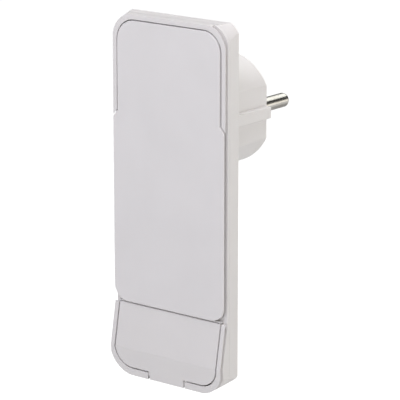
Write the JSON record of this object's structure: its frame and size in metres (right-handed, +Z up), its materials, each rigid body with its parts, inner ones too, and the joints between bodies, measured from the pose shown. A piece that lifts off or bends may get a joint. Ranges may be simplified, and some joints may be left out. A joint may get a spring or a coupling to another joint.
{
  "type": "flat earthed mains plug",
  "caption": "Thin white earthed mains plug: tall flat plate with a fold-out T-shaped grip, wedge-shaped cord cover, round plug body with two nickel pins.",
  "frame": {"origin": "centre of the plug body's contact face, on the plug axis midway between the two pins", "axes": "+X to the right seen from the front, +Y along the pins into the wall, +Z up, away from the cord outlet"},
  "size_m": [0.046, 0.0521, 0.1212],
  "materials": {
    "white_plastic": "fine satin",
    "grip_plastic": "fine satin",
    "grey_plastic": "matte",
    "amber_sheet": "smooth insulating sheet",
    "nickel": "nickel plated",
    "brass": "bright",
    "plated_steel": "zinc plated",
    "spring_steel": "bright"
  },
  "bodies": {
    "housing": {"rear_shell": "white_plastic", "front_frame": "white_plastic", "plug_body": "white_plastic", "line_pin": "nickel", "neutral_pin": "nickel", "top_earth_contact": "nickel", "bottom_earth_contact": "nickel", "earth_strap": "brass", "earth_sleeve": "nickel", "line_busbar": "brass", "neutral_busbar": "brass", "earth_busbar": "brass", "line_terminal": "brass", "neutral_terminal": "brass", "earth_terminal": "brass", "terminal_screws": "plated_steel", "terminal_carrier": "grey_plastic", "insulating_sheet": "amber_sheet", "cord_clamp": "grey_plastic", "cord_clamp_screws": "plated_steel", "handle_hinge_pin": "plated_steel", "handle_detent_spring": "spring_steel", "housing_screws": "plated_steel"},
    "grip": {"pull_handle": "grip_plastic"},
    "cover": {"cable_cover": "white_plastic"}
  },
  "joints": [
    {"name": "handle_hinge", "type": "hinge", "parent": "housing", "child": "grip", "pos_m": [0, -0.0289, 0.0237], "axis": [-1, 0, 0], "range_deg": [0, 40]},
    {"name": "cover_hinge", "type": "hinge", "parent": "housing", "child": "cover", "pos_m": [0, -0.02955, -0.0656], "axis": [-1, 0, 0], "range_deg": [0, 75]}
  ]
}
